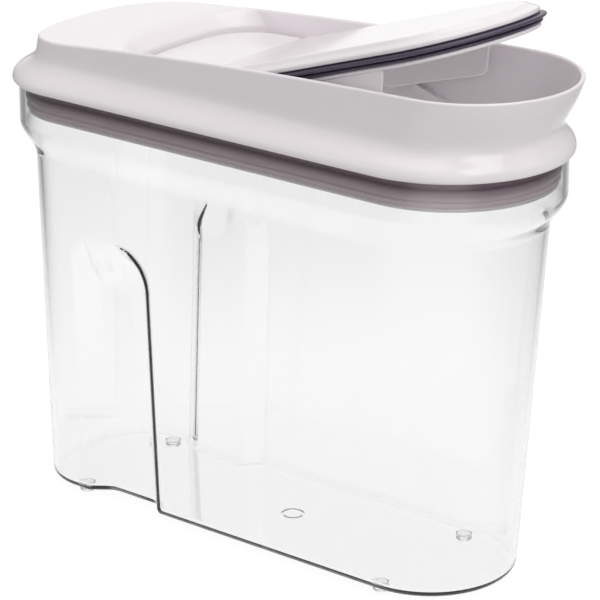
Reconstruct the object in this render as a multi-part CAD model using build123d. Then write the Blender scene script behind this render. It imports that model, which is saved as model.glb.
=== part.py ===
"""Clear cereal keeper with a bullet-shaped plan and a white lid, whose rocker flap opens a pouring spout.

The origin is on the table, below the middle of the overall box. +X points to the spout, +Z up.
Heights of the lid, its frame, its seal and its flap are given above the seam between container and lid.
The flap is drawn with its front plate level, and is then rocked back to the open rest pose. Shut, its
front plate dips two degrees below level.
"""

import os
from collections import namedtuple
from math import atan2, cos, pi, sin, sqrt

from build123d import *

# Plan outline: half-round nose, straight sides, rounded rear corners and a slightly crowned rear end.
Outline = namedtuple("Outline", "half rear nose corner crown")

# Container
foot_height = 2.6
body_height = 180.8
shoulder_drop = 32.0
collar_drop = 17.5
collar_rise = 2.0
collar_draft = 0.3
wall = 2.1
base_radius = 3.6
floor_radius = 5.0
base_plan = Outline(36.3, -119.3, 69.7, 25.0, 105.0)
body_plan = Outline(43.5, -119.8, 72.7, 29.0, 105.0)
collar_plan = Outline(47.6, -128.1, 75.9, 34.8, 104.5)
shoulder_steps = (0.0, 0.15, 0.35, 0.5, 0.65, 0.85, 1.0)
gate_radius = 5.0
gate_width = 1.0
gate_depth = 0.8

# Hand recess on each side of the container: (depth, rear edge) of its sloping rear flank
grip_front = -45.3
grip_front_slope = 0.9
grip_rear_flank = ((0.0, -94.9), (0.8, -89.7), (3.2, -85.0), (5.8, -80.9), (6.8, -75.5))
grip_top = 122.1
grip_top_slope = 1.25
grip_corner = 15.0
grip_outside = 3.0

# Feet
foot_radius = 3.4
foot_socket = 0.6
foot_bevel = 0.5
foot_rear_x = -91.3
foot_front_x = 67.7
foot_side_y = 29.1
foot_spots = {
    "foot_front_left": (foot_front_x, foot_side_y),
    "foot_front_right": (foot_front_x, -foot_side_y),
    "foot_rear_left": (foot_rear_x, foot_side_y),
    "foot_rear_right": (foot_rear_x, -foot_side_y),
}

# Lid: heights and shares of the skirt in the swelling below the waist, and of the rim in the flare above
skirt_plan = Outline(50.1, -130.6, 75.9, 37.3, 107.0)
waist_plan = Outline(41.4, -120.8, 80.3, 31.0, 95.0)
rim_plan = Outline(42.6, -117.2, 88.0, 33.0, 91.0)
skirt_drop = 0.6
skirt_turn = 0.6
skirt_swell = ((2.0, 1.0), (4.3, 0.93), (6.0, 0.77), (8.0, 0.46), (10.4, 0.12))
rim_flare = ((13.0, 0.09), (18.0, 0.4), (24.0, 0.73), (31.0, 1.0))
rim_spare = 6.0
rim_rear = 17.4
rim_middle = 27.3
rim_front = 31.0
lid_wall = 2.0
waist_skin = 0.4
waist_step = 2.9

# Rear deck, crescent scoop and the well under the press pad
deck_wall = 2.2
well_rear = -62.6
well_plan = Outline(waist_plan.half + 0.1, well_rear, waist_plan.nose + 15.7, 24.0, 150.0)
well_floor = 12.2
scoop_foot = 17.0
scoop_top = 23.0
scoop_reach = 11.0
mouth_plan = Outline(well_plan.half, well_rear - scoop_reach, well_plan.nose, 30.0, 115.0)
floor_wall = 2.0
trough_floor = 4.5
trough_rear = -14.3
seal_wall_x = 6.7
seal_wall_top = 13.8

# Hinge
hinge_x = -2.3
hinge_height = 12.0
rest_tilt = 18.0
pin_radius = 3.0
pin_play = 0.05
pin_bite = 0.6
pin_end_play = 0.3
ear_radius = 5.0
ear_inset = 0.4
ear_wall = 1.8
boss_radius = 4.3
boss_gap = 0.5

# Flap, drawn level; its lift is from the hinge axis to the underside of the cover
flap_lift = 6.85
flap_gap = 1.8
flap_nose_back = 0.5
edge_height = 2.0
plate_height = 4.5
plate_rear_corner = 1.0
bevel = 3.1
skin_wall = 2.3
rear_side_wall = 2.2
valley_x = -22.8
pad_gap = 1.0
pad_rear_gap = 5.0
pad_corner = 23.0
pad_crown = 150.0
pad_rise = 9.8
pad_wall = 2.4
pad_lap = 1.0
cut_spare = 1.0

# Seal and under-frame of the flap
flap_seal_rear = 9.2
flap_seal_height = 4.2
seal_land = 5.5
flap_corner = 10.0
boss_wall = 1.8
upper_lip_reach = 1.5
lower_lip_reach = 0.7
lip_thickness = 1.4
retainer_wall = 1.7
retainer_inset = 0.8
cheek_inset = 1.4
cheek_wall = 1.6
cheek_front_top = (75.5, -1.0)
cheek_front_foot = (67.8, -19.0)
cheek_rear_foot = (15.5, -17.4)
cheek_rear_top = (11.7, -1.0)
cheek_corner = 3.0

# Inner frame of the lid and the main seal
frame_wall = 2.3
frame_top = 7.7
frame_foot = 13.5
flange = 2.0
seat_gap = 0.3
foot_flange = 1.5
foot_flange_reach = 1.6
seal_gap = 0.3
seal_space = 2.9
seal_back = 1.4
rib_bands = ((-3.4, 0.4), (-7.6, -4.4))
lip_band = (-11.0, -9.5)
lip_fold = 0.5
ledge_start = (31.5, 6.7)
ledge_end = (57.7, -3.0)
ledge_wall = 2.0
ledge_reach = 1.8

lid_room = waist_plan.half - lid_wall
flap_half = lid_room - flap_gap
flap_nose = waist_plan.nose - flap_nose_back
pad_plan = Outline(lid_room - pad_gap, well_rear + pad_rear_gap, valley_x, pad_corner, pad_crown)
ear_outer = flap_half - ear_inset
pin_tip = lid_room + pin_bite
seam = foot_height + body_height
hinge_z = seam + hinge_height
flap_z = hinge_z + flap_lift
span = 400.0
straight = 4 * span
touch = 0.01


def grown(outline, by):
    """The outline moved outwards by a distance, or inwards if it is negative."""
    half, rear, nose, corner, crown = outline
    return Outline(half + by, rear - by, nose, corner + by, crown + by)


ring_plan = grown(collar_plan, -collar_draft - wall - seal_gap - seal_space)
rib_plan = grown(ring_plan, seal_space)


def between(first, second, share):
    """The outline that lies a share of the way from the first to the second."""
    return Outline(*(a + (b - a) * share for a, b in zip(first, second)))


def plan(outline, z):
    """Flat face of an outline at a height."""
    half, rear, nose, corner, crown = outline
    hub = rear + crown
    flat = half - corner
    turn = hub - sqrt((crown - corner) ** 2 - flat**2)
    lean = atan2(flat, hub - turn)
    middle = (pi / 2 + pi - lean) / 2
    knee = (turn + corner * cos(middle), flat + corner * sin(middle))
    end = (hub - crown * cos(lean), crown * sin(lean))
    slant = half * sqrt(0.5)
    edges = [
        ThreePointArc((nose + half, 0), (nose + slant, slant), (nose, half)),
        Line((nose, half), (turn, half)),
        ThreePointArc((turn, half), knee, end),
        ThreePointArc(end, (rear, 0), (end[0], -end[1])),
        ThreePointArc((end[0], -end[1]), (knee[0], -knee[1]), (turn, -half)),
        Line((turn, -half), (nose, -half)),
        ThreePointArc((nose, -half), (nose + slant, -slant), (nose + half, 0)),
    ]
    return Pos(0, 0, z) * Face(Wire(edges))


def prism(outline, low, high):
    """Upright prism of an outline between two heights."""
    return extrude(plan(outline, low), high - low, dir=(0, 0, 1))


def band(outer, inner, low, high):
    """Upright ring between two outlines."""
    return prism(outer, low, high) - prism(inner, low, high)


def skin(stations, ruled=False):
    """Solid through a list of (height, outline)."""
    return loft([plan(outline, z) for z, outline in stations], ruled=ruled)


def side_bar(points, low_y, high_y):
    """Prism across the part, of a side view drawn as a closed polygon."""
    sheet = Plane.XZ * make_face(Polyline(*points, close=True))
    return Pos(0, high_y, 0) * extrude(sheet, high_y - low_y, dir=(0, -1, 0))


def raised(points, by):
    """Side-view points moved up."""
    return [(x, z + by) for x, z in points]


def both_sides(shape):
    return shape + mirror(shape, about=Plane.XZ)


def edges_at(shape, z):
    """Edges that lie at a height."""
    return shape.edges().filter_by_position(Axis.Z, z - touch, z + touch)


def container_form(inset, foot, top):
    """Tapered body, shoulder and collar, drawn in by a distance."""
    shoulder = seam - shoulder_drop
    collar = seam - collar_drop
    rise = collar - shoulder
    bend = [
        (shoulder + rise * t, between(body_plan, collar_plan, (1 - cos(pi * t)) / 2))
        for t in shoulder_steps
    ]
    neck = grown(collar_plan, -collar_draft)
    parts = [
        skin([(foot, grown(base_plan, -inset)), (shoulder, grown(body_plan, -inset))], ruled=True),
        skin([(z, grown(outline, -inset)) for z, outline in bend]),
        skin([(collar, grown(collar_plan, -inset)), (top, grown(neck, -inset))], ruled=True),
    ]
    return parts[0] + parts[1:]


def grip_tool(inset):
    """Hand recess of the near side, as a stack of arches that narrow towards its bed."""
    lean = atan2(body_plan.half - base_plan.half, body_height - shoulder_drop)
    origin = (0, -base_plan.half, foot_height)
    side = Plane(origin, x_dir=(1, 0, 0), z_dir=(0, -cos(lean), -sin(lean)))
    outside = (-grip_outside, 2 * grip_rear_flank[0][1] - grip_rear_flank[1][1])
    arches = []
    for depth, rear in (outside, *grip_rear_flank):
        front = grip_front - grip_front_slope * depth + inset
        crest = grip_top - foot_height - grip_top_slope * depth + inset
        foot = -3 * foot_height
        sheet = Rectangle(front - rear + inset, crest - foot, align=(Align.MIN, Align.MIN))
        corner = grip_corner - grip_front_slope * depth + inset
        arch = fillet(sheet.vertices().group_by(Axis.Y)[-1], corner)
        arches.append((side * Pos(rear - inset, foot, -depth - inset) * arch).face())
    return loft(arches)


def make_container():
    """Clear body with a draft, a shoulder, a collar for the lid and a hand recess on each side."""
    top = seam + collar_rise
    body = container_form(0, foot_height, top)
    body = fillet(edges_at(body, foot_height), base_radius)
    floor = foot_height + wall
    room = container_form(wall, floor, top)
    room = fillet(edges_at(room, floor), floor_radius)
    body -= both_sides(grip_tool(0))
    room -= both_sides(grip_tool(wall))
    shell = body - room
    ring = Cylinder(gate_radius, gate_depth) - Cylinder(gate_radius - gate_width, gate_depth)
    shell -= Pos(0, 0, foot_height + gate_depth / 2) * ring
    for x, y in foot_spots.values():
        shell -= Pos(x, y, foot_height) * Cylinder(foot_radius, 2 * foot_socket)
    return shell


def make_foot(spot):
    height = foot_height + foot_socket
    foot = Pos(*spot, height / 2) * Cylinder(foot_radius, height)
    return chamfer(foot.edges().group_by(Axis.Z)[0], foot_bevel)


def lid_form(inset):
    """Wavy side of the lid, from the skirt's edge to above the rim, drawn in by a distance."""
    swell = [(-skirt_drop, grown(skirt_plan, -skirt_turn)), (skirt_drop, grown(skirt_plan, -skirt_turn / 4))]
    swell += [(z, between(waist_plan, skirt_plan, share)) for z, share in skirt_swell]
    flare = [(z, between(waist_plan, rim_plan, share)) for z, share in rim_flare]
    flare += [(rim_flare[-1][0] + rim_spare, between(waist_plan, rim_plan, 1.1))]
    halves = [
        [(seam + z, grown(outline, -inset)) for z, outline in rows]
        for rows in (swell + flare[:1], flare)
    ]
    return skin(halves[0]) + skin(halves[1])


def under_arch(drop):
    """Everything below the long arch that the lid's top follows."""
    rear = rim_plan.rear
    front = rim_plan.nose + rim_plan.half
    middle = (rear + front) / 2
    spots = [(rear, rim_rear), (middle, rim_middle), (front, rim_front)]
    arch = ThreePointArc(*raised(spots, seam - drop))
    hub = arch.arc_center
    return Pos(hub.X, 0, hub.Y) * Rot(90, 0, 0) * Cylinder(arch.radius, span)


def well_form(inset, foot):
    """Space of the well: upright walls, and a crescent scoop that opens them out to the deck."""
    upright = prism(grown(well_plan, inset), seam + foot, seam + 2 * rim_front)
    wide = between(well_plan, mouth_plan, 2.0)
    high = 2 * scoop_top - scoop_foot
    flare = [(seam + scoop_foot, well_plan), (seam + high, wide)]
    return upright + skin([(z, grown(outline, inset)) for z, outline in flare], ruled=True)


def hinge_pin(radius, inner_y, outer_y):
    """Bar on the hinge axis, towards the far side."""
    length = outer_y - inner_y
    return Pos(hinge_x, inner_y + length / 2, hinge_z) * Rot(90, 0, 0) * Cylinder(radius, length)


def make_lid_shell():
    """White lid: waisted side wall, rear deck, well under the pad, trough and sealing wall."""
    deck = under_arch(0) - under_arch(deck_wall) + well_form(floor_wall, well_floor - floor_wall)
    deck = (deck & prism(skirt_plan, seam + frame_top, seam + span)) - well_form(0, 0)
    step = trough_rear - floor_wall
    wall_front = seal_wall_x + floor_wall
    floor_line = [
        (well_plan.rear - floor_wall, well_floor),
        (trough_rear, well_floor),
        (trough_rear, trough_floor),
        (seal_wall_x, trough_floor),
        (seal_wall_x, seal_wall_top),
        (wall_front, seal_wall_top),
        (wall_front, trough_floor - floor_wall),
        (step, trough_floor - floor_wall),
        (step, well_floor - floor_wall),
        (well_plan.rear - floor_wall, well_floor - floor_wall),
    ]
    reach = prism(skirt_plan, seam + frame_top, seam + span)
    reach += prism(grown(ring_plan, -frame_wall - seal_gap), seam, seam + frame_top)
    floor = side_bar(raised(floor_line, seam), -span / 4, span / 4) & reach
    floor &= prism(grown(well_plan, floor_wall), seam, seam + span)
    collar = prism(grown(waist_plan, -waist_skin), seam + frame_top, seam + frame_top + waist_step)
    collar -= prism(grown(waist_plan, -lid_wall), seam, seam + span)
    boss = hinge_pin(boss_radius, ear_outer + boss_gap, waist_plan.half)
    inside = deck + floor + collar + both_sides(boss)
    void = lid_form(lid_wall) - inside
    shell = (lid_form(0) & under_arch(0)) - void
    return shell - both_sides(hinge_pin(pin_radius + pin_play, 0, pin_tip + pin_end_play))


def make_lid_frame():
    """Inner frame: ring wall, flanges under the lid and over the collar, and a sloping rib on each side."""
    throat = grown(ring_plan, -frame_wall)
    seat = grown(collar_plan, -collar_draft - seat_gap)
    seat_low = seam + collar_rise + seat_gap
    top = seam + frame_top
    foot = seam - frame_foot
    frame = prism(ring_plan, foot, top) + prism(waist_plan, top - flange, top)
    frame += prism(seat, seat_low, seat_low + flange)
    frame += prism(grown(ring_plan, foot_flange_reach), foot, foot + foot_flange)
    frame -= prism(throat, seam - span, seam + span)
    drop = [ledge_start, ledge_end]
    under = [(x, z - ledge_wall) for x, z in reversed(drop)]
    rib = side_bar(raised(drop + under, seam), throat.half - ledge_reach, throat.half)
    return frame + both_sides(rib)


def make_lid_seal():
    """Soft main seal: a sleeve round the frame with two ribs and a thin lip that press on the collar."""
    low = seam - frame_foot + foot_flange
    high = seam + collar_rise + seat_gap
    seal = prism(grown(ring_plan, seal_back), low, high)
    for rib_low, rib_high in rib_bands:
        seal += prism(rib_plan, seam + rib_low, seam + rib_high)
    seal += prism(grown(rib_plan, -lip_fold), seam + lip_band[0], seam + lip_band[1])
    return seal - prism(ring_plan, seam - span, seam + span)


def front_plate(inset, rear, corner, low, high):
    """Prism of the front plate's nose, drawn in, with rounded rear corners."""
    half = flap_half - inset
    return prism(Outline(half, rear, flap_nose, corner, straight), low, high)


def make_flap_cover():
    """White rocker: bevelled front plate, press pad, two hinge ears with their pins."""
    low = flap_z
    edge = low + edge_height
    top = low + plate_height
    plate = front_plate(0, valley_x, plate_rear_corner, low, edge)
    rim = Outline(flap_half, valley_x, flap_nose, plate_rear_corner, straight)
    crown = Outline(flap_half - bevel, valley_x, flap_nose, plate_rear_corner, straight)
    plate += skin([(edge, rim), (top, crown)], ruled=True)
    land_rear = flap_seal_rear + seal_land
    plate -= front_plate(seal_land, land_rear, flap_corner, low - cut_spare, top - skin_wall)
    room_half = flap_half - rear_side_wall
    rear_room = Box(flap_seal_rear - valley_x, 2 * room_half, 2 * (plate_height - skin_wall))
    plate -= Pos((valley_x + flap_seal_rear) / 2, 0, low) * rear_room
    slope = pad_rise / (valley_x - pad_plan.rear)
    reach = pad_plan.rear - pad_rear_gap
    pad_line = [
        (valley_x, top),
        (reach, top + slope * (valley_x - reach)),
        (reach, top + slope * (valley_x - reach) - pad_wall),
        (valley_x, top - pad_wall),
        (valley_x + pad_lap, top - pad_wall),
        (valley_x + pad_lap, top),
    ]
    pad = side_bar(pad_line, -pad_plan.half, pad_plan.half) & prism(pad_plan, low, low + span)
    ear = Pos(hinge_x, 0, hinge_z) * Rot(90, 0, 0) * Cylinder(ear_radius, 2 * ear_outer)
    ear += Pos(hinge_x, 0, (hinge_z + edge) / 2) * Box(2 * ear_radius, 2 * ear_outer, edge - hinge_z)
    ear -= Box(span, 2 * (ear_outer - ear_wall), 3 * span)
    pin = both_sides(hinge_pin(pin_radius, ear_outer, pin_tip))
    return rocked(plate + pad + ear + pin)


def make_flap_seal():
    """Dark gasket under the front plate, with a wide upper lip and a narrower lower lip."""
    high = flap_z
    low = high - flap_seal_height
    seal = front_plate(0, flap_seal_rear, flap_corner, low, high)
    seal += front_plate(-upper_lip_reach, flap_seal_rear, flap_corner, high - lip_thickness, high)
    seal += front_plate(-lower_lip_reach, flap_seal_rear, flap_corner, low, low + lip_thickness)
    land_rear = flap_seal_rear + seal_land
    seal -= front_plate(seal_land, land_rear, flap_corner, low - cut_spare, high + cut_spare)
    return rocked(seal)


def make_flap_frame():
    """White retainer under the gasket, with a boss into the cover and two cheeks that guide the food."""
    seat = flap_z - flap_seal_height
    top = flap_z + plate_height - skin_wall
    frame = front_plate(retainer_inset, flap_seal_rear, flap_corner, seat - retainer_wall, seat)
    frame += front_plate(seal_land, flap_seal_rear + seal_land, flap_corner, seat, top)
    hollow = seal_land + boss_wall
    frame -= front_plate(hollow, flap_seal_rear + hollow, flap_corner, seat - span, top - boss_wall)
    line = [cheek_front_top, cheek_front_foot, cheek_rear_foot, cheek_rear_top]
    sheet = Plane.XZ * make_face(Polyline(*raised(line, flap_z - flap_seal_height), close=True))
    cheek = Pos(0, flap_half - cheek_inset, 0) * extrude(sheet, cheek_wall, dir=(0, -1, 0))
    corners = cheek.edges().filter_by(Axis.Y).group_by(Axis.Z)[0:2]
    cheek = fillet(corners[0] + corners[1], cheek_corner)
    return rocked(frame + both_sides(cheek))


def rocked(shape):
    """The shape turned about the hinge from level to the open rest pose."""
    hinge = Pos(hinge_x, 0, hinge_z)
    return hinge * Rot(0, -rest_tilt, 0) * hinge.inverse() * shape


makers = {
    "container": make_container,
    "lid_shell": make_lid_shell,
    "lid_frame": make_lid_frame,
    "lid_seal": make_lid_seal,
    "flap_cover": make_flap_cover,
    "flap_seal": make_flap_seal,
    "flap_frame": make_flap_frame,
}

os.makedirs("parts", exist_ok=True)
for name, make in makers.items():
    export_step(make(), f"parts/{name}.step")
for name, spot in foot_spots.items():
    export_step(make_foot(spot), f"parts/{name}.step")
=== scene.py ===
"""Clear cereal keeper with a white flip-spout lid, dressed for a still picture.

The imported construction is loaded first. Each section below then models one piece of the keeper over its
construction solid, in the order in which the keeper is put together. Sizes are in millimetres.
"""

import math
from collections import namedtuple

import bmesh
import bpy
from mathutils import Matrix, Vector


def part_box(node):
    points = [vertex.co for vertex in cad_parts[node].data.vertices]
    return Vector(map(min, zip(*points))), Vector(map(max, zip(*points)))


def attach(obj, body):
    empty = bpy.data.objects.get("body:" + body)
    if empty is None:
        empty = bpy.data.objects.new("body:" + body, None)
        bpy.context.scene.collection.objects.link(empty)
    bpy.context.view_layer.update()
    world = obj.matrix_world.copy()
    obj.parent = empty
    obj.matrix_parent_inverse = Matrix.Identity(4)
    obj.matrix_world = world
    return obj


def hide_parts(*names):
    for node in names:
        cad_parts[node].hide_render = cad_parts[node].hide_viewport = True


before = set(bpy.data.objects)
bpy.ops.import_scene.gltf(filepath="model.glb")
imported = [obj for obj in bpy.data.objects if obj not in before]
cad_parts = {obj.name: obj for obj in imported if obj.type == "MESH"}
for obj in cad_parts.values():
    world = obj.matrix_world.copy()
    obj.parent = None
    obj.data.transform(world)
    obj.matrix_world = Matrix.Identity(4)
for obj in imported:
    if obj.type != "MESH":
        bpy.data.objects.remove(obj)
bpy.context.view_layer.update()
bpy.ops.object.select_all(action="DESELECT")

# ---------------------------------------------------------------------------------------------------
# Clear body: injection moulded in clear copolyester. It has a bullet plan, a slight draft, a shoulder,
# a wider collar for the lid and a hand recess in each side. It stands on four small feet.
# ---------------------------------------------------------------------------------------------------

MM = 0.001
Outline = namedtuple("Outline", "half rear nose corner crown")

foot_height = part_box("container")[0].z / MM
collar_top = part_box("container")[1].z / MM
seam = collar_top - 2.0
wall = 2.1
base_plan = Outline(36.3, -119.3, 69.7, 25.0, 105.0)
body_plan = Outline(43.5, -119.8, 72.7, 29.0, 105.0)
collar_plan = Outline(47.6, -128.1, 75.9, 34.8, 104.5)
shoulder_low = seam - 32.0
shoulder_high = seam - 17.5
collar_draft = 0.3
base_radius = 3.6
floor_radius = 2.4
floor_top = foot_height + wall
nose_steps = 28
corner_steps = 12
crown_steps = 8
crease = 40


def grown(outline, by):
    """The outline moved outwards by a distance."""
    half, rear, nose, corner, crown = outline
    return Outline(half + by, rear - by, nose, corner + by, crown + by)


def between(first, second, share):
    """The outline that lies a share of the way from the first to the second."""
    return Outline(*(a + (b - a) * share for a, b in zip(first, second)))


def side_end(outline):
    """Where the straight side meets the rear corner, and how far the crown leans there."""
    half, rear, nose, corner, crown = outline
    hub = rear + crown
    turn = hub - math.sqrt((crown - corner) ** 2 - (half - corner) ** 2)
    return turn, math.atan2(half - corner, hub - turn)


def half_ring(outline, marks):
    """Points of the outline's near half, from the tip of the nose to the middle of the rear end."""
    half, rear, nose, corner, crown = outline
    turn, lean = side_end(outline)
    points = []
    for i in range(nose_steps):
        a = math.pi / 2 * i / nose_steps
        points.append((nose + half * math.cos(a), -half * math.sin(a)))
    points += [(nose + (turn - nose) * mark, -half) for mark in marks]
    for i in range(1, corner_steps + 1):
        a = math.pi / 2 + (math.pi / 2 - lean) * i / corner_steps
        points.append((turn + corner * math.cos(a), corner - half - corner * math.sin(a)))
    for i in range(1, crown_steps + 1):
        a = lean * (1 - i / crown_steps)
        points.append((rear + crown - crown * math.cos(a), -crown * math.sin(a)))
    return points


def ring(outline, z, marks):
    """Closed loop of points of an outline at a height."""
    near = half_ring(outline, marks)
    far = [(x, -y) for x, y in near[-2:0:-1]]
    return [Vector((x, y, z)) for x, y in near + far]


def folded(points, share=0.0):
    """The loop drawn towards the centre line, where its two halves meet."""
    return [Vector((p.x, p.y * share, p.z)) for p in points]


def place(mesh, points):
    """Puts the newest vertices of the mesh in edit mode on the given points."""
    work = bmesh.from_edit_mesh(mesh)
    work.verts.ensure_lookup_table()
    for vertex, point in zip(work.verts[-len(points):], points):
        vertex.co = point * MM
    bmesh.update_edit_mesh(mesh)


def pulled(name, rings, capped=False):
    """Shell drawn from a circle by extruding one loop after another."""
    bpy.ops.object.select_all(action="DESELECT")
    bpy.ops.mesh.primitive_circle_add(vertices=len(rings[0]), radius=MM, fill_type="NOTHING")
    piece = bpy.context.active_object
    piece.name = piece.data.name = name
    bpy.ops.object.mode_set(mode="EDIT")
    bpy.ops.mesh.select_mode(type="EDGE")
    place(piece.data, rings[0])
    if capped:
        bpy.ops.mesh.edge_face_add()
    for points in rings[1:]:
        bpy.ops.mesh.extrude_edges_move()
        place(piece.data, points)
    if capped:
        bpy.ops.mesh.edge_face_add()
    bpy.ops.object.mode_set(mode="OBJECT")
    return piece


def finished(pieces, material, body, node_name):
    """Joins the shells of one moulding, turns their faces outwards and gives it its finish."""
    bpy.ops.object.select_all(action="DESELECT")
    for piece in pieces:
        piece.select_set(True)
    piece = pieces[0]
    bpy.context.view_layer.objects.active = piece
    if len(pieces) > 1:
        bpy.ops.object.join()
    bpy.ops.object.transform_apply(location=True, rotation=True, scale=True)
    bpy.ops.object.mode_set(mode="EDIT")
    bpy.ops.mesh.select_all(action="SELECT")
    bpy.ops.mesh.remove_doubles(threshold=0.004 * MM)
    bpy.ops.mesh.normals_make_consistent(inside=False)
    bpy.ops.object.mode_set(mode="OBJECT")
    bpy.ops.object.shade_smooth_by_angle(angle=math.radians(crease))
    piece.modifiers.new("flats", "WEIGHTED_NORMAL").keep_sharp = True
    bpy.ops.object.modifier_apply(modifier="flats")
    piece.data.materials.clear()
    piece.data.materials.append(material)
    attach(piece, body)
    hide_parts(node_name)


def quarter(start, end, steps):
    """Angles of a rounded edge, in radians."""
    return [math.radians(start + (end - start) * i / steps) for i in range(steps + 1)]


def smooth(value):
    """Soft step from 0 to 1."""
    value = min(max(value, 0.0), 1.0)
    return value * value * (3 - 2 * value)


def linear(code):
    """Scene-linear colour of an sRGB hex code."""
    parts = [int(code[i : i + 2], 16) / 255 for i in (1, 3, 5)]
    return [c / 12.92 if c <= 0.04045 else ((c + 0.055) / 1.055) ** 2.4 for c in parts] + [1.0]


def node(material, kind, inputs=None, **settings):
    """Adds a node with its settings; an input is a value, or the output that feeds it."""
    added = material.node_tree.nodes.new(kind)
    for key, value in settings.items():
        setattr(added, key, value)
    for key, value in (inputs or {}).items():
        if isinstance(value, bpy.types.NodeSocket):
            material.node_tree.links.new(value, added.inputs[key])
        else:
            added.inputs[key].default_value = value
    return added


def new_material(name):
    """Empty node material."""
    material = bpy.data.materials.new(name)
    material.use_nodes = True
    material.node_tree.nodes.clear()
    return material


def output(material, surface, volume=None):
    """Ends the material's nodes in its output."""
    ends = {"Surface": surface.outputs[0]}
    if volume:
        ends["Volume"] = volume.outputs[0]
    node(material, "ShaderNodeOutputMaterial", ends)


def clear_copolyester():
    """Clear moulding with a slight swell in its surface and a neutral grey in its thickness."""
    m = new_material("clear_copolyester")
    spot = node(m, "ShaderNodeTexCoord").outputs["Object"]
    flow = node(m, "ShaderNodeTexNoise", {"Vector": spot, "Scale": 1 / (35 * MM), "Detail": 1.0})
    swell = node(m, "ShaderNodeBump", {"Height": flow.outputs["Fac"], "Strength": 0.04, "Distance": 0.4 * MM})
    shader = node(
        m,
        "ShaderNodeBsdfPrincipled",
        {
            "Base Color": linear("#FCFCFC"),
            "Roughness": 0.015,
            "IOR": 1.5,
            "Transmission Weight": 1.0,
            "Normal": swell.outputs["Normal"],
        },
    )
    tint = node(m, "ShaderNodeVolumeAbsorption", {"Color": linear("#D9DADA"), "Density": 55.0})
    output(m, shader, tint)
    return m


# Hand recess: where its edges lie, its depth, and how wide each flank is. Past grip_crisp behind the front
# edge the upper flank turns soft over grip_fade. The rear flank fades out at its top, close to the rear.
grip_front = -45.3
grip_rear = -86.0
grip_top = 122.1
grip_depth = 6.8
grip_corner = 18.0
grip_flank = 6.2
grip_crisp = 11.0
grip_fade = 12.0
grip_soft_flank = 24.0
grip_rear_flank = 9.0
grip_rear_drop = 4.0
grip_rear_fade = 14.0
grip_rear_start = 4.0
grip_rear_run = 16.0
grip_edge = 0.2
grip_heel = 0.8
grip_margin = 3.0
grip_spread = 0.9


def grip_flank_depth(inside, width):
    """Depth of a flank at a distance inside its edge: the edge is crisp and the heel is soft."""
    run = grip_edge * math.log(1 + math.exp(min(inside * grip_depth / width, 30) / grip_edge))
    return max(grip_depth - grip_heel * math.log(1 + math.exp((grip_depth - run) / grip_heel)), 0.0)


def grip_dent(x, z, spread):
    """How far the side is pushed in at a point by the hand recess, which is the spread wider inside.

    Its front and rear flanks are crisp; its upper flank is crisp at the front and fades towards the rear.
    """
    side = grip_front + spread - x
    top = grip_top + spread - z
    rear = x - grip_rear + spread
    if side < grip_corner and top < grip_corner:
        inside = grip_corner - math.hypot(grip_corner - side, grip_corner - top)
    else:
        inside = min(side, top)
    if inside < -grip_margin:
        return 0.0
    crisp = grip_flank_depth(inside, grip_flank)
    fade = smooth((side - grip_crisp) / grip_fade)
    soft = grip_depth * smooth(top / grip_soft_flank)
    front = crisp * (1 - fade) + min(crisp, soft) * fade
    hold = smooth((top - grip_rear_drop) / grip_rear_fade)
    hold += (1 - hold) * smooth((rear - grip_rear_start) / grip_rear_run)
    return min(front, grip_flank_depth(rear, grip_rear_flank) * hold)


def body_outline(z):
    """Outer outline of the body at a height."""
    if z <= shoulder_low:
        return between(base_plan, body_plan, (z - foot_height) / (shoulder_low - foot_height))
    if z < shoulder_high:
        turn = (z - shoulder_low) / (shoulder_high - shoulder_low)
        return between(body_plan, collar_plan, (1 - math.cos(math.pi * turn)) / 2)
    return grown(collar_plan, -collar_draft * (z - shoulder_high) / (collar_top - shoulder_high))


# Columns of the side's mesh, from front to rear, closest together at both ends of the recess.
side_columns = [58.0 - 14 * i for i in range(7)] + [-38.0, -41.0] + [-42.0 - 0.5 * i for i in range(26)]
side_columns += [-56.5 - 2.2 * i for i in range(10)] + [-77.4 - 0.7 * i for i in range(17)]


def body_marks(outline):
    """The columns as shares of the straight side."""
    turn = side_end(outline)[0]
    return [0.0] + [(x - outline.nose) / (turn - outline.nose) for x in side_columns] + [1.0]


def body_ring(z, inset, spread=0.0):
    """Loop of the body at a height, drawn in by a distance, with both hand recesses."""
    outline = grown(body_outline(z), -inset)
    loop = ring(outline, z, body_marks(outline))
    for point in loop:
        point.y -= math.copysign(grip_dent(point.x, z, spread), point.y)
    return loop


# Rows of the side's mesh, from the base up, closest together at the top of the recess.
side_heights = [10, 25, 40, 55, 70, 82, 92, 99] + [100 + 1.3 * i for i in range(12)]
side_heights += [115.1 + 0.7 * i for i in range(14)] + [126, 130, 140]
side_heights += [shoulder_low + (shoulder_high - shoulder_low) * i / 12 for i in range(13)]
collar_row = seam - 10
rim_round = 0.7
base_step = 0.5
gate_radius = 5.0
gate_width = 1.0
gate_depth = 0.8
gate_apron = 14.0


def gate_ring(radius, z):
    """Loop round the injection point in the middle of the base, point for point with the base's edge."""
    ways = [Vector((p.x, p.y)).normalized() for p in ring(inner_plan, 0.0, body_marks(inner_plan))]
    return [Vector((way.x * radius, way.y * radius, z)) for way in ways]


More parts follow.
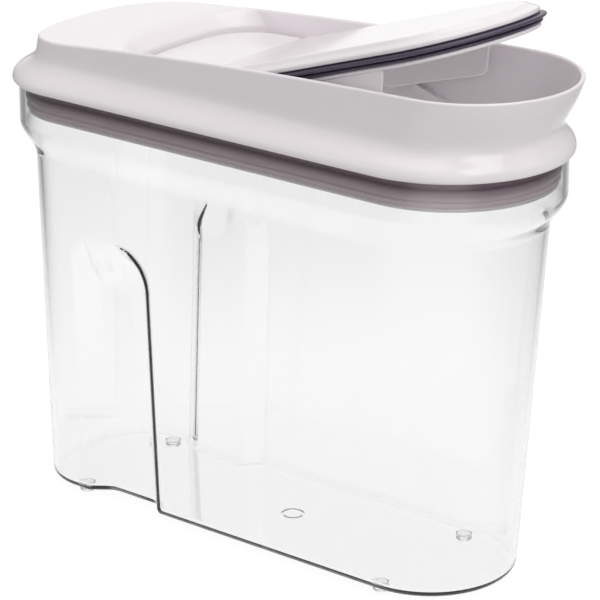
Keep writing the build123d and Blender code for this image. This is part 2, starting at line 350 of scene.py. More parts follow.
# The shell is drawn from the injection point out over the base, up the outside, over the rim, down the
# inside and in over the floor.
inner_plan = grown(body_outline(foot_height), -gate_apron)
gate_top = foot_height + gate_depth
body_rings = [gate_ring(radius, foot_height) for radius in (0.0, gate_radius - gate_width)]
body_rings += [gate_ring(radius, gate_top) for radius in (gate_radius - gate_width, gate_radius)]
body_rings.append(gate_ring(gate_radius, foot_height))
body_rings.append(ring(inner_plan, foot_height, body_marks(inner_plan)))
body_rings.append(body_ring(foot_height, base_radius + base_step))
for a in quarter(90, 0, 6):
    z = foot_height + base_radius * (1 - math.sin(a))
    body_rings.append(body_ring(z, base_radius * (1 - math.cos(a))))
body_rings += [body_ring(z, 0) for z in side_heights + [collar_row]]
for a in quarter(0, 90, 4):
    body_rings.append(body_ring(collar_top - rim_round * (1 - math.sin(a)), rim_round * (1 - math.cos(a))))
for a in quarter(90, 0, 4):
    inset = wall - rim_round * (1 - math.cos(a))
    body_rings.append(body_ring(collar_top - rim_round * (1 - math.sin(a)), inset))
inner_heights = [z for z in side_heights if z > floor_top + floor_radius + 1]
body_rings += [body_ring(z, wall, grip_spread) for z in [collar_row] + inner_heights[::-1]]
for a in quarter(0, 90, 7):
    z = floor_top + floor_radius * (1 - math.sin(a))
    body_rings.append(body_ring(z, wall + floor_radius * (1 - math.cos(a)), grip_spread))
floor_ring = body_ring(floor_top, wall + floor_radius + base_step, grip_spread)
body_rings += [floor_ring, folded(floor_ring, 0.5), folded(floor_ring)]
# Clear copolyester from a polished tool: it shows only its edges, its thick corners and the gloss.
clear = clear_copolyester()
finished([pulled("clear_body", body_rings)], clear, "container", "container")
for foot in ("foot_front_left", "foot_front_right", "foot_rear_left", "foot_rear_right"):
    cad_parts[foot].data.materials.clear()
    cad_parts[foot].data.materials.append(clear)


# ---------------------------------------------------------------------------------------------------
# Main seal: soft thermoplastic rubber sleeve, stretched round the inner frame. Two thick ribs and a
# folded lip press on the inside of the collar and show through it as darker bands.
# ---------------------------------------------------------------------------------------------------


def moulded(name, base, shade, roughness, ior=1.54, fade=None):
    """Coloured moulding: faint flow shade over tens of millimetres, and the fine grain of the tool.

    The real grain is too fine to show, so it is drawn 0.9 mm coarse. With a fade, the base colour turns
    into the shade between two heights instead, from the first to the second.
    """
    m = new_material(name)
    spot = node(m, "ShaderNodeTexCoord").outputs["Object"]
    if fade:
        height = node(m, "ShaderNodeSeparateXYZ", {"Vector": spot}).outputs["Z"]
        falling = {"Value": height, "From Min": fade[0] * MM, "From Max": fade[1] * MM}
        share = node(m, "ShaderNodeMapRange", falling).outputs[0]
    else:
        flow = {"Vector": spot, "Scale": 1 / (28 * MM), "Detail": 2.0}
        share = node(m, "ShaderNodeTexNoise", flow).outputs["Fac"]
    tones = {"Factor": share, 6: linear(base), 7: linear(shade)}
    tone = node(m, "ShaderNodeMix", tones, data_type="RGBA")
    fine = node(m, "ShaderNodeTexNoise", {"Vector": spot, "Scale": 1 / (0.9 * MM), "Detail": 3.0})
    skin = {"Height": fine.outputs["Fac"], "Strength": 0.03, "Distance": 0.05 * MM}
    skin = node(m, "ShaderNodeBump", skin)
    shader = {
        "Base Color": tone.outputs[2],
        "Roughness": roughness,
        "IOR": ior,
        "Normal": skin.outputs["Normal"],
    }
    output(m, node(m, "ShaderNodeBsdfPrincipled", shader))
    return m


side_marks = [i / 26 for i in range(27)]
frame_plan = grown(collar_plan, -collar_draft - wall - 3.2)
seal_low = -12.0
seal_high = 2.3
seal_back = 1.4
rib_reach = 2.9
rib_bands = ((-3.4, 0.4), (-7.6, -4.4))
lip_band = (-11.0, -9.5)


def lobe(low, high, reach, base, steps=5):
    """Rounded rib in section, from its lower root to its upper root: (reach, height) of each point."""
    radius = min((high - low) / 2, reach - base)
    turn = [(radius * (1 - math.cos(a)), radius * (1 - math.sin(a))) for a in quarter(0, 90, steps)]
    lower = [(reach - back, low + rise) for back, rise in turn[::-1]]
    upper = [(reach - back, high - drop) for back, drop in turn]
    return [(base, low)] + lower + upper + [(base, high)]


seal_edge = 0.4
seal_side = [(0.0, seal_low), (seal_back - seal_edge, seal_low), (seal_back, seal_low + seal_edge)]
seal_side += lobe(*lip_band, rib_reach - 0.5, seal_back)
seal_side += lobe(*rib_bands[1], rib_reach, seal_back) + lobe(*rib_bands[0], rib_reach, seal_back)
seal_side += [(seal_back, seal_high - seal_edge), (seal_back - seal_edge, seal_high)]
seal_side += [(0.0, seal_high), (0.0, seal_low)]
seal_rings = [ring(grown(frame_plan, out), seam + z, side_marks) for out, z in seal_side]
pale_from = seam - 4.5
pale_to = seam - 9.5
# Soft smoky rubber: dull, darker at the top and over the upper rib, and paler down at its lip.
mauve = moulded("mauve_rubber", "#8E7280", "#EBDCE0", 0.42, 1.5, fade=(pale_from, pale_to))
finished([pulled("main_seal", seal_rings)], mauve, "lid", "lid_seal")


# ---------------------------------------------------------------------------------------------------
# Inner frame: white ABS ring that hangs inside the collar, snapped up into the lid. A foot flange holds
# the main seal, a seat flange rests on the collar, and a rib on each side guides the food.
# ---------------------------------------------------------------------------------------------------

# White ABS from a polished tool: almost evenly white, with a trace of pink and clear soft reflections.
white = moulded("white_abs", "#F8F2F5", "#F6F0F3", 0.13)
throat_plan = grown(frame_plan, -2.3)
waist_plan = Outline(41.4, -120.8, 80.3, 31.0, 95.0)
seat_plan = grown(collar_plan, -collar_draft - 0.3)
frame_foot = -13.5
frame_top = 7.7
frame_flange = 2.0
foot_reach = 1.6
seat_top = seal_high + frame_flange
edge = 0.4
# Section of the ring: the plan it follows, height above the seam, and how far outside the plan it lies.
frame_side = [
    (throat_plan, frame_foot + edge, 0.0),
    (throat_plan, frame_foot, edge),
    (frame_plan, frame_foot, foot_reach - edge),
    (frame_plan, frame_foot + edge, foot_reach),
    (frame_plan, seal_low - edge, foot_reach),
    (frame_plan, seal_low, foot_reach - edge),
    (frame_plan, seal_low, 0.0),
    (frame_plan, seal_high, 0.0),
    (seat_plan, seal_high, -edge),
    (seat_plan, seal_high + edge, 0.0),
    (seat_plan, seat_top - edge, 0.0),
    (seat_plan, seat_top, -edge),
    (frame_plan, seat_top, 0.0),
    (frame_plan, frame_top - frame_flange, 0.0),
    (waist_plan, frame_top - frame_flange, 0.0),
    (waist_plan, frame_top, 0.0),
    (throat_plan, frame_top, 0.0),
    (throat_plan, frame_foot + edge, 0.0),
]
frame_rings = [ring(grown(plan, out), seam + z, side_marks) for plan, z, out in frame_side]
frame_shells = [pulled("inner_frame", frame_rings)]


def slab(name, points, near, far, soft):
    """Plate across the keeper from a convex side view, with soft edges on both faces."""
    middle = Vector((sum(x for x, z in points), sum(z for x, z in points))) / len(points)
    rows = [(near, soft), (near + soft * 0.3, soft * 0.3), (near + soft, 0.0)]
    rows += [(far - soft, 0.0), (far - soft * 0.3, soft * 0.3), (far, soft)]
    loops = []
    for y, inset in rows:
        loop = []
        for x, z in points:
            away = Vector((x, z)) - middle
            spot = Vector((x, z)) - away.normalized() * inset
            loop.append(Vector((spot.x, y, spot.y)))
        loops.append(loop)
    return pulled(name, loops, capped=True)


def rounded(points, radius, steps):
    """Side view with its corners rounded."""
    loop = []
    for i, corner in enumerate(points):
        corner = Vector(corner)
        back = Vector(points[i - 1]) - corner
        on = Vector(points[(i + 1) % len(points)]) - corner
        reach = min(radius, back.length / 2.2, on.length / 2.2)
        first = corner + back.normalized() * reach
        last = corner + on.normalized() * reach
        for k in range(steps + 1):
            t = k / steps
            loop.append(tuple(first * (1 - t) ** 2 + corner * 2 * t * (1 - t) + last * t**2))
    return loop


rib_line = [(32.5, 7.6), (57.7, -1.8), (57.7, -4.8), (31.5, 4.9)]
rib_line = rounded([(x, seam + z) for x, z in rib_line], 0.6, 3)
rib_inner = throat_plan.half - 2.8
rib_root = throat_plan.half + 0.5
frame_shells.append(slab("ledge", rib_line, rib_inner, rib_root, edge))
frame_shells.append(slab("ledge", rib_line, -rib_root, -rib_inner, edge))
finished(frame_shells, white, "lid", "lid_frame")


# ---------------------------------------------------------------------------------------------------
# Lid shell: one glossy white ABS moulding. Its side swells over the collar, draws in to a waist and
# flares to a rim that follows a long arch. The deck dips by a crescent scoop into the well of the pad.
# ---------------------------------------------------------------------------------------------------

skirt_plan = Outline(50.1, -130.6, 75.9, 37.3, 107.0)
rim_plan = Outline(42.6, -117.2, 88.0, 33.0, 91.0)
# Rounded lower edge of the skirt: height above the seam and how far it is drawn in.
skirt_edge = ((-0.6, 1.3), (-0.6, 0.8), (-0.5, 0.45), (-0.15, 0.15), (0.3, 0.03))
# Stations up the side: height above the seam, and a share of the way from the waist to the named plan.
side_shares = (
    (0.8, skirt_plan, 1.0),
    (2.4, skirt_plan, 0.95),
    (4.3, skirt_plan, 0.78),
    (6.3, skirt_plan, 0.48),
    (8.4, skirt_plan, 0.2),
    (10.6, skirt_plan, 0.04),
    (13.0, rim_plan, 0.07),
    (18.0, rim_plan, 0.38),
    (24.0, rim_plan, 0.73),
    (31.0, rim_plan, 1.0),
    (37.0, rim_plan, 1.1),
)
side_stations = [(z, between(waist_plan, plan, share)) for z, plan, share in side_shares]
swell_heights = (0.8, 1.6, 2.4, 3.3, 4.3, 5.3, 6.3, 7.3, 8.4, 9.5, 10.6, 11.8)
flare_foot = 13.0
lid_wall = 2.0
lid_edge = 1.0
rim_rear = (rim_plan.rear, 17.4)
rim_middle = (6.7, 27.3)
rim_front = (rim_plan.nose + rim_plan.half, 31.0)


def arch_circle(first, second, third):
    """Centre and radius of the circle through three points of a side view."""
    (ax, az), (bx, bz), (cx, cz) = first, second, third
    d = 2 * (ax * (bz - cz) + bx * (cz - az) + cx * (az - bz))
    a2, b2, c2 = ax**2 + az**2, bx**2 + bz**2, cx**2 + cz**2
    ux = (a2 * (bz - cz) + b2 * (cz - az) + c2 * (az - bz)) / d
    uz = (a2 * (cx - bx) + b2 * (ax - cx) + c2 * (bx - ax)) / d
    return ux, uz, math.hypot(ax - ux, az - uz)


arch_x, arch_z, arch_radius = arch_circle(rim_rear, rim_middle, rim_front)


def arch(x):
    """Height of the lid's top above the seam."""
    return arch_z + math.sqrt(arch_radius**2 - (x - arch_x) ** 2)


def side_outline(z):
    """Outline of the lid's side at a height above the seam: a smooth curve through the stations."""
    z = min(max(z, side_stations[0][0]), side_stations[-1][0])
    k = max(i for i in range(len(side_stations) - 1) if side_stations[i][0] <= z)
    rows = [side_stations[min(max(k + i, 0), len(side_stations) - 1)] for i in (-1, 0, 1, 2)]
    (z0, a), (z1, b), (z2, c), (z3, d) = rows
    t = (z - z1) / (z2 - z1)
    span = z2 - z1
    values = []
    for p, q, r, s in zip(a, b, c, d):
        lean = (r - p) / (z2 - z0) * span
        rise = (s - q) / (z3 - z1) * span
        values.append(
            q * (2 * t**3 - 3 * t**2 + 1)
            + lean * (t**3 - 2 * t**2 + t)
            + r * (3 * t**2 - 2 * t**3)
            + rise * (t**3 - t**2)
        )
    return Outline(*values)


def side_ring(height, inset):
    """Loop on the lid's side; the height above the seam is worked out for each point from its x."""
    loop = ring(grown(side_outline(height(0.0)), -inset), 0.0, side_marks)
    near = len(loop) // 2 + 1
    for i in range(near):
        for _ in range(3):
            z = height(loop[i].x)
            x, y = half_ring(grown(side_outline(z), -inset), side_marks)[i]
            loop[i] = Vector((x, y, seam + z))
        if 0 < i < near - 1:
            loop[-i] = Vector((x, -y, seam + z))
    return loop


def level(z):
    """The same height all round."""
    return lambda x: z


def flare(share):
    """Height between the waist and the rounded rim, as a share of the way up."""
    return lambda x: flare_foot + share * (arch(x) - lid_edge - flare_foot)


def crest(angle):
    """Height on the rounded rim."""
    return lambda x: arch(x) - lid_edge * (1 - math.sin(angle))


lid_rings = [ring(grown(skirt_plan, -inset), seam + z, side_marks) for z, inset in skirt_edge]
lid_rings += [side_ring(level(z), 0.0) for z in swell_heights]
lid_rings += [side_ring(flare(f), 0.0) for f in (0, 0.08, 0.18, 0.3, 0.45, 0.6, 0.75, 0.9)]
lid_rings += [side_ring(crest(a), lid_edge * (1 - math.cos(a))) for a in quarter(0, 90, 5)]
crest_ring = lid_rings[-1]

well_plan = Outline(41.5, -62.6, 96.0, 24.0, 150.0)
mouth_plan = Outline(41.5, -73.6, 96.0, 30.0, 115.0)
well_floor = 12.2
scoop_foot = 17.0
scoop_rise = 12.0
mouth_soft = 3.0
foot_soft = 0.7
well_lap = 1.2
scoop_wall = 2.4
deck_wall = 2.2
crest_skin = 0.02
waist_low = 11.0
waist_wall = 0.4
skirt_wall = 0.9


def rear_curve(outline, share):
    """Point of an outline's rear end, from where it leaves the side to the middle of the end."""
    turn, lean = side_end(outline)
    half, rear, nose, corner, crown = outline
    knee = corner * (math.pi / 2 - lean)
    along = share * (knee + crown * lean)
    if along < knee:
        a = math.pi / 2 + along / corner
        return turn + corner * math.cos(a), corner - half - corner * math.sin(a)
    a = lean - (along - knee) / crown
    return rear + crown - crown * math.cos(a), -crown * math.sin(a)


def mouth_point(share):
    """Where the scoop meets the arched deck."""
    z = scoop_foot + scoop_rise / 2
    for _ in range(8):
        x, y = rear_curve(between(well_plan, mouth_plan, 2 * (z - scoop_foot) / scoop_rise), share)
        z = arch(x)
    return Vector((x, y, z))


def bend(first, corner, last, t):
    """Point of a soft corner between two lines."""
    return first * (1 - t) ** 2 + corner * (2 * t * (1 - t)) + last * t**2


def scoop_row(top, share):
    """Section through deck, scoop and well wall and back below them, from a point of the crest."""
    mouth = mouth_point(share)
    x, y = rear_curve(well_plan, share)
    foot = Vector((x, y, scoop_foot))
    out = top - mouth
    out.z = 0
    away = out.length
    out.normalize()
    soft = min(mouth_soft, 0.9 * away)
    start = mouth + out * soft
    start.z = arch(start.x)
    slope = (foot - mouth).normalized()
    end = mouth + slope * soft
    row = [top.lerp(start, 0.35), top.lerp(start, 0.7)]
    for point in row:
        point.z = arch(point.x)
    row += [bend(start, mouth, end, t) for t in (0, 0.25, 0.5, 0.75, 1)]
    row.append(end.lerp(foot, 0.5))
    low = Vector((x, y, scoop_foot - foot_soft))
    row += [bend(foot - slope * foot_soft, foot, low, t) for t in (0, 0.5, 1)]
    row.append(Vector((x, y, well_floor - well_lap)))
    x, y = rear_curve(grown(well_plan, lid_wall), share)
    row += [Vector((x, y, z - well_lap)) for z in (well_floor, scoop_foot)]
    row.append(start - Vector((0, 0, scoop_wall)))
    row += [top - Vector((0, 0, drop)) for drop in (deck_wall, crest_skin)]
    return row


def buried(row):
    """The row kept inside the side wall where it runs into it."""
    for point in row:
        limit = side_outline(max(point.z, waist_low)).half - lid_edge
        point.y = max(point.y, -limit)
    return row


# Behind the mouth of the scoop, each loop from the crest inwards runs on over the deck and into the well.
half_count = len(crest_ring) // 2
first_rear = min(i for i in range(half_count) if crest_ring[i].x < mouth_point(0).x)
lengths = [0.0]
for i in range(first_rear + 1, half_count + 1):
    lengths.append(lengths[-1] + (crest_ring[i] - crest_ring[i - 1]).length)
rear_rows = {}
for i, along in zip(range(first_rear, half_count + 1), lengths):
    top = crest_ring[i] - Vector((0, 0, seam))
    rear_rows[i] = buried(scoop_row(top, along / lengths[-1]))
for k in range(len(rear_rows[half_count])):
    loop = list(crest_ring)
    for i, row in rear_rows.items():
        spot = row[k] + Vector((0, 0, seam))
        loop[i] = spot
        if i < half_count:
            loop[-i] = Vector((spot.x, -spot.y, spot.z))
    lid_rings.append(loop)

# Down the inside of the rim, round the seat of the inner frame and down the inside of the skirt.
lid_rings += [side_ring(crest(a), lid_wall - lid_edge * (1 - math.cos(a))) for a in quarter(75, 0, 4)]
lid_rings += [side_ring(flare(f), lid_wall) for f in (0.8, 0.55, 0.3, 0)]
lid_rings += [ring(grown(waist_plan, -lid_wall), seam + z, side_marks) for z in (11.8, 10.6, frame_top)]
lid_rings += [ring(grown(waist_plan, -waist_wall), seam + z, side_marks) for z in (frame_top, 9.4)]
lid_rings += [side_ring(level(z), skirt_wall) for z in (9.0, 8.1, 7.2, 6.1, 5.0, 3.8)]
lid_rings += [side_ring(level(z), lid_wall) for z in (3.4, 2.0)]
lid_rings += [ring(grown(skirt_plan, -lid_wall), seam + z, side_marks) for z in (0.6, -0.3)]
lid_rings.append(lid_rings[0])
lid_shells = [pulled("lid_shell_white", lid_rings)]

# Floor of the well, with the trough below the hinge and a wall in front that the gasket closes on.
trough_floor = 4.5
trough_rear = -14.3
seal_wall_x = 6.7
seal_wall_top = 13.8
floor_wall = 2.0
floor_line = [
    (well_plan.rear - 1, well_floor),
    (trough_rear, well_floor),
    (trough_rear, trough_floor),
    (seal_wall_x, trough_floor),
    (seal_wall_x, seal_wall_top),
    (seal_wall_x + floor_wall, seal_wall_top),
    (seal_wall_x + floor_wall, trough_floor - floor_wall),
    (trough_rear - floor_wall, trough_floor - floor_wall),
    (trough_rear - floor_wall, well_floor - floor_wall),
    (well_plan.rear - 1, well_floor - floor_wall),
]
floor_line = rounded([(x, seam + z) for x, z in floor_line], 0.5, 3)
floor_half = 39.7
floor_steps = 48
floor_rear = [rear_curve(grown(well_plan, 1.0), s / 80) for s in range(81)]
floor_loops = []
for k in range(floor_steps + 1):
    y = floor_half * (2 * k / floor_steps - 1)
    rear = min(floor_rear, key=lambda spot: abs(spot[1] + abs(y)))[0]
    floor_loops.append([Vector((max(x, rear), y, z)) for x, z in floor_line])
lid_shells.append(pulled("well_floor", floor_loops, capped=True))


def turned(name, x, z, stations, steps=32):
    """Round bar across the keeper through (y, radius) stations."""
    loops = []
    for y, radius in stations:
        angles = [2 * math.pi * k / steps for k in range(steps)]
        loops.append([Vector((x + radius * math.cos(a), y, z + radius * math.sin(a))) for a in angles])
    return pulled(name, loops, capped=True)


hinge_x = -2.3
hinge_z = seam + 12.0
boss_face = 37.75
boss_root = 39.8
boss_radius = 4.3
for side in (-1, 1):
    stations = [(side * boss_face, boss_radius - 0.4), (side * (boss_face + 0.25), boss_radius)]
    stations.append((side * boss_root, boss_radius))
    lid_shells.append(turned("hinge_boss", hinge_x, hinge_z, stations))
finished(lid_shells, white, "lid", "lid_shell")


# ---------------------------------------------------------------------------------------------------
# Flap cover: glossy white ABS rocker. Its front plate has a bevelled edge; behind a valley the press pad
# rises. Two ears below carry the hinge pins, which snap into the lid.
# ---------------------------------------------------------------------------------------------------

# Sizes are those of the flap when it lies level. It is turned to its open rest pose at the end.
rest_tilt = 18.0
flap_z = hinge_z + 6.85
flap_half = 37.6
flap_nose = 79.8
valley_x = -22.8
valley_width = 1.6
pad_rear = -57.6
pad_slope = 9.8 / (valley_x - pad_rear)
plate_height = 4.5
pad_wall = 2.4
pad_edge = 1.0
flap_plan = Outline(flap_half, pad_rear, flap_nose, 23.0, 150.0)


def rocked(loops):
    """The loops turned about the hinge from level to the open rest pose."""
    c, s = math.cos(math.radians(rest_tilt)), math.sin(math.radians(rest_tilt))
    turned_loops = []
    for loop in loops:
        level_spots = [(p.x - hinge_x, p.y, p.z - hinge_z) for p in loop]
        spots = [(hinge_x + x * c - z * s, y, hinge_z + x * s + z * c) for x, y, z in level_spots]
        turned_loops.append([Vector(spot) for spot in spots])
    return turned_loops


def plate_share(x):
    """1 on the front plate, 0 on the pad, with a short change at the valley."""
    return smooth((x - valley_x) / valley_width + 0.5)


def flap_top(x):
    """Height of the upper face above the plate's underside."""
    return plate_height + pad_slope * max(valley_x - x, 0.0)


loops_seen = {}


def cover_plan(inset):
    """Loop of the cover's plan at an inset, worked out once."""
    key = round(inset, 3)
    if key not in loops_seen:
        loops_seen[key] = ring(grown(flap_plan, -key), 0.0, flap_marks)
    return loops_seen[key]


def flap_loop(plate_inset, plate_z, pad_inset, pad_z, share):
    """Loop of the cover: inset and height on the plate, and inset and depth below the top on the pad.

    The share draws the loop in towards the centre line, to close the top and the underside.
    """
    loop = []
    for i, p in enumerate(cover_plan(0.0)):
        s = plate_share(p.x)
        q = cover_plan(pad_inset + (plate_inset - pad_inset) * s)[i]
        z = (flap_top(q.x) - pad_z) * (1 - s) + plate_z * s
        loop.append(Vector((q.x, q.y * share, flap_z + z)))
    return loop


# Columns along the side of the cover, closest together at the valley.
valley_mark = (flap_nose - valley_x) / (flap_nose - side_end(flap_plan)[0])
flap_marks = [valley_mark * i / 24 for i in range(24)]
flap_marks += [valley_mark + offset for offset in (-0.008, -0.004, 0.0, 0.004, 0.008)]
flap_marks = sorted(set(flap_marks + [valley_mark + (1 - valley_mark) * i / 5 for i in range(1, 6)]))
# Underside, with the groove of the gasket; lower edge; bevel of two facets; rounded brow; flat top.
flap_rows = [(8.0, 2.2, 6.0, pad_wall, 0.0), (8.0, 2.2, 6.0, pad_wall, 0.6), (5.9, 2.2, 5.0, pad_wall, 1.0)]
flap_rows += [(5.5, 1.8, 4.6, pad_wall, 1.0), (5.5, 0.0, 4.0, pad_wall, 1.0)]
flap_rows.append((0.3, 0.0, pad_edge, pad_wall, 1.0))
for a, z in zip(quarter(90, 0, 4), (0.0, 0.05, 0.12, 0.2, 0.35)):
    drop = pad_wall - pad_edge * (1 - math.sin(a))
    flap_rows.append((0.25 * math.sin(a), z, pad_edge * (1 - math.cos(a)) * 0.6, drop, 1.0))
flap_rows += [(0.0, 1.2, 0.0, 1.3, 1.0), (0.05, 1.5, 0.02, 1.1, 1.0), (0.25, 1.75, 0.06, 0.95, 1.0)]
flap_rows += [(0.7, 1.96, 0.15, 0.7, 1.0), (1.7, 2.38, 0.3, 0.5, 1.0), (2.7, 2.82, 0.45, 0.3, 1.0)]
flap_rows += [(3.1, 3.02, 0.6, 0.2, 1.0), (3.8, 3.6, 0.7, 0.14, 1.0), (4.5, 4.17, 0.85, 0.08, 1.0)]
flap_rows += [(4.8, 4.35, 1.0, 0.03, 1.0), (5.2, 4.47, 1.2, 0.01, 1.0), (5.6, 4.5, 1.6, 0.0, 1.0)]
flap_rows += [(6.2, 4.5, 2.1, 0.0, 1.0), (7.0, 4.5, 3.0, 0.0, 0.55), (7.0, 4.5, 3.0, 0.0, 0.0)]
cover_shells = [pulled("flap_cover_white", rocked([flap_loop(*row) for row in flap_rows]))]
ear_outer = 37.2
ear_wall = 1.8
ear_radius = 5
ear_half = 6
ear_edge = 0.3
ear_root = flap_z + 1.5
ear_centre = Vector((hinge_x, hinge_z + 2))
pin_radius = 3.0
pin_end = 39.95
around = quarter(180, 360, 14)
ear_line = [(hinge_x + ear_radius * math.cos(a), hinge_z + ear_radius * math.sin(a)) for a in around]
ear_line += [(hinge_x + ear_radius, ear_root), (hinge_x - ear_radius, ear_root)]
for side in (-1, 1):
    near, far = sorted((side * ear_outer, side * (ear_outer - ear_wall)))
    ear = []
    for y, inset in ((near, ear_edge), (near + ear_edge, 0.0), (far - ear_edge, 0.0), (far, ear_edge)):
        spots = [ear_centre + (Vector(s) - ear_centre) * (1 - inset / ear_half) for s in ear_line]
        ear.append([Vector((s.x, y, s.y)) for s in spots])
    cover_shells.append(pulled("ear", rocked(ear), capped=True))
    stations = [(side * (ear_outer - 0.5), pin_radius), (side * (pin_end - 0.35), pin_radius)]
    stations.append((side * pin_end, pin_radius - 0.4))
    cover_shells.append(turned("pin", hinge_x, hinge_z, stations))
finished(cover_shells, white, "flap", "flap_cover")


# ---------------------------------------------------------------------------------------------------
# Flap gasket: dark thermoplastic rubber ring in the groove below the front plate. When the flap is shut,
# its wide upper lip closes on the inside of the spout. A narrow lip below it guides it in.
# ---------------------------------------------------------------------------------------------------

gasket_rear = 9.2
gasket_height = 4.2
gasket_low = flap_z - gasket_height
gasket_plan = Outline(flap_half, gasket_rear, flap_nose, 10.0, 1600.0)
land = 5.5
nose_lip = 0.7


def gasket_loops(side):
    """Rocked loops of a section round the front plate: (outwards, height above the gasket's foot)."""
    loops = []
    for out, z in side:
        plan = grown(gasket_plan, out)._replace(nose=flap_nose + max(out, 0.0) * nose_lip)
        loops.append(ring(plan, gasket_low + z, gasket_marks))
    return rocked(loops)


gasket_marks = [i / 20 for i in range(21)]
# Section: foot, lower lip, neck, upper lip, and back along the top.
gasket_side = [(-land, 0.0), (-1.4, 0.0)] + lobe(0.0, 1.3, 0.2, -1.2)
gasket_side += [(-1.0, 1.5), (-0.8, 1.7)] + lobe(1.75, 3.45, 1.4, -0.8)
gasket_side += [(-1.0, 3.6), (-1.2, gasket_height), (-land, gasket_height), (-land, 0.0)]
# Dark slate rubber, a little glossier than the main seal, so that its lips show as thin light lines.
slate = moulded("slate_rubber", "#544C60", "#4B4457", 0.36, 1.5)
finished([pulled("flap_gasket", gasket_loops(gasket_side))], slate, "flap", "flap_seal")


# ---------------------------------------------------------------------------------------------------
# Flap frame: white ABS retainer that clips into the cover and holds the gasket. A thin cheek on each side
# hangs into the spout and keeps the cereal in the middle of the stream.
# ---------------------------------------------------------------------------------------------------

retainer = 1.7
retainer_in = 0.8
boss = 1.8
plate_wall = 2.3
boss_top = plate_height - plate_wall + gasket_height
# Section: up the boss inside the gasket, out below the gasket, and back up inside.
frame_section = [
    (-land, boss_top),
    (-land, 0.0),
    (-retainer_in - edge, 0.0),
    (-retainer_in, -edge),
    (-retainer_in, -retainer + edge),
    (-retainer_in - edge, -retainer),
    (-land - boss + edge, -retainer),
    (-land - boss, -retainer + edge),
    (-land - boss, boss_top - boss),
]
top_ring = ring(grown(gasket_plan, -land), gasket_low + boss_top, gasket_marks)
under_ring = ring(grown(gasket_plan, -land - boss), gasket_low + boss_top - boss, gasket_marks)
frame_loops = rocked([folded(top_ring), folded(top_ring, 0.5)]) + gasket_loops(frame_section)
frame_loops += rocked([folded(under_ring, 0.5), folded(under_ring)])
flap_shells = [pulled("flap_frame_white", frame_loops)]
cheek_line = [(75.5, -1.0), (67.8, -19.0), (15.5, -17.4), (11.7, -1.0)]
cheek_line = rounded([(x, gasket_low + z) for x, z in cheek_line], 3.5, 6)
cheek_middle = Vector((43.0, gasket_low - 9.5))
cheek_half = Vector((27, 7))
cheek_wall = 1.6
cheek_inset = 1.4
cheek_soft = 0.6
cheek_turn = 0.2
for side in (-1, 1):
    outer = side * (flap_half - cheek_inset)
    near, far = sorted((outer, outer - side * cheek_wall))
    rows = [(near, cheek_soft), (near + cheek_turn, cheek_turn), (near + cheek_soft, 0.0)]
    rows += [(far - cheek_soft, 0.0), (far - cheek_turn, cheek_turn), (far, cheek_soft)]
    loops = []
    for y, inset in rows:
        shrink = Vector((1 - inset / cheek_half.x, 1 - inset / cheek_half.y))
        spots = [cheek_middle + (Vector(spot) - cheek_middle) * shrink for spot in cheek_line]
        loops.append([Vector((s.x, y, s.y)) for s in spots])
    flap_shells.append(pulled("cheek", rocked(loops), capped=True))
finished(flap_shells, white, "flap", "flap_frame")


# ---------------------------------------------------------------------------------------------------
# Studio: a plain pale floor, a white room with grey sides, four soft panels of light, and the camera.
# Lengths are in metres from here on.
# ---------------------------------------------------------------------------------------------------

sight_across = (0.786, 0.618, 0.0)


def seen_ray(owner):
    """1 for rays that should meet the white background: camera, mirror and glass rays."""
    path = node(owner, "ShaderNodeLightPath")
    first = {0: path.outputs["Is Camera Ray"], 1: path.outputs["Is Transmission Ray"]}
    first = node(owner, "ShaderNodeMath", first, operation="MAXIMUM")
    second = {0: first.outputs[0], 1: path.outputs["Is Glossy Ray"]}
    return path, node(owner, "ShaderNodeMath", second, operation="MAXIMUM")


def grey_sides(owner, spot, inner, outer, middle_level, side_level):
    """Level of the set: bright in the middle and dark towards its left and right sides.

    The dark sides bend into the edges of the clear plastic and draw them, as black boards do in a studio.
    """
    across = node(owner, "ShaderNodeVectorMath", {0: spot, 1: sight_across}, operation="DOT_PRODUCT")
    aside = node(owner, "ShaderNodeMath", {0: across.outputs["Value"]}, operation="ABSOLUTE")
    span = {"From Min": inner, "From Max": outer, "To Min": middle_level, "To Max": side_level}
    span["Value"] = aside.outputs[0]
    return node(owner, "ShaderNodeMapRange", span, interpolation_type="SMOOTHSTEP")


# Room: the camera itself sees plain white, and the pieces are lit by an even, softer white.
world = bpy.data.worlds.new("studio")
bpy.context.scene.world = world
world.use_nodes = True
world.node_tree.nodes.clear()
room_light = 0.58
path, seen = seen_ray(world)
way = node(world, "ShaderNodeTexCoord").outputs["Generated"]
grey = grey_sides(world, way, 0.12, 0.6, 1.08, 0.22)
lit = node(world, "ShaderNodeMix", {0: seen.outputs[0], 2: room_light, 3: grey.outputs[0]})
plain = node(world, "ShaderNodeMix", {0: path.outputs["Is Camera Ray"], 2: lit.outputs[0], 3: 1.0})
sky = node(world, "ShaderNodeBackground", {"Color": linear("#FFFFFF"), "Strength": plain.outputs[0]})
node(world, "ShaderNodeOutputWorld", {"Surface": sky.outputs[0]})

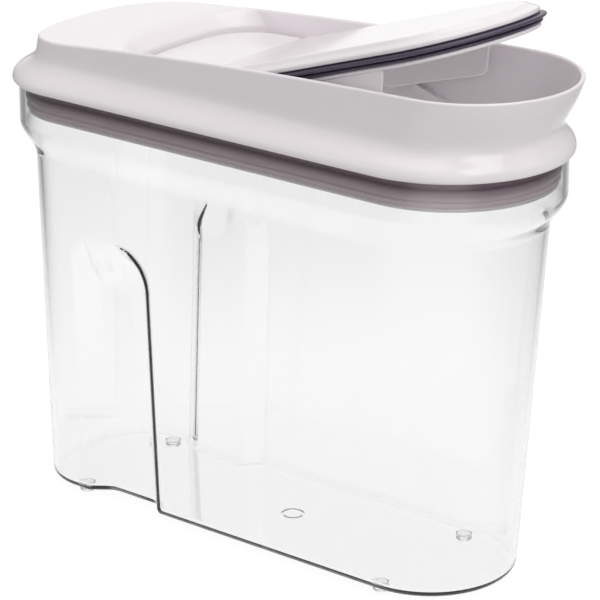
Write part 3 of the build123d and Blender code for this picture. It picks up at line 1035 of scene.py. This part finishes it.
# Floor: pale board. To the camera, and in glass and gloss, it shows mostly white, and a share of its
# plain surface keeps the shadow.
floor_white = 1.18
floor_share = 0.8
bpy.ops.mesh.primitive_circle_add(vertices=96, radius=4, fill_type="NGON", location=(0, 0, -0.0004))
floor = bpy.context.active_object
floor.name = "floor"
bpy.ops.object.transform_apply(location=True)
m = new_material("pale_floor")
diffuse = node(m, "ShaderNodeBsdfDiffuse", {"Color": linear("#C8C8C8")})
path, seen = seen_ray(m)
share = node(m, "ShaderNodeMath", {0: seen.outputs[0], 1: floor_share}, operation="MULTIPLY")
spot = node(m, "ShaderNodeTexCoord").outputs["Object"]
grey = grey_sides(m, spot, 0.15, 0.42, 1.22, 0.3)
shown = node(m, "ShaderNodeMix", {0: path.outputs["Is Camera Ray"], 2: grey.outputs[0], 3: floor_white})
glow = node(m, "ShaderNodeEmission", {"Color": linear("#FFFFFF"), "Strength": shown.outputs[0]})
mixed = node(m, "ShaderNodeMixShader", {0: share.outputs[0], 1: diffuse.outputs[0], 2: glow.outputs[0]})
output(m, mixed)
floor.data.materials.append(m)

# Panels of light: name, place, watts, edge length, and the point that each faces.
lamps = (
    ("overhead_panel", (-0.05, -0.1, 1.3), 2.6, 1.0, (0.0, 0.0, 0.15)),
    ("front_panel", (0.95, -0.3, 1.0), 3.6, 0.7, (0.04, 0.0, 0.18)),
    ("left_panel", (-1.1, -0.9, 0.8), 0.9, 0.9, (0.0, 0.0, 0.12)),
    ("right_panel", (1.15, 0.45, 0.75), 1.1, 0.7, (0.0, 0.0, 0.16)),
)
for name, spot, power, size, aim in lamps:
    bpy.ops.object.light_add(type="AREA", location=spot)
    lamp = bpy.context.active_object
    lamp.name = name
    lamp.data.energy = power
    lamp.data.shape = "SQUARE"
    lamp.data.size = size
    lamp.rotation_euler = (Vector(aim) - Vector(spot)).to_track_quat("-Z", "Y").to_euler()

# Camera: a long lens from the right front, looking down at the lid.
camera_down = 20.733
camera_turn = 38.215
camera_data = bpy.data.cameras.new("camera")
camera_data.lens = 181.8
camera_data.sensor_width = 36.0
camera_data.clip_start = 0.05
camera = bpy.data.objects.new("camera", camera_data)
bpy.context.scene.collection.objects.link(camera)
camera.location = (0.7251, -0.9171, 0.5430)
camera.rotation_euler = (math.radians(90 - camera_down), 0.0, math.radians(camera_turn))
bpy.context.scene.camera = camera
bpy.context.scene.view_settings.view_transform = "Standard"
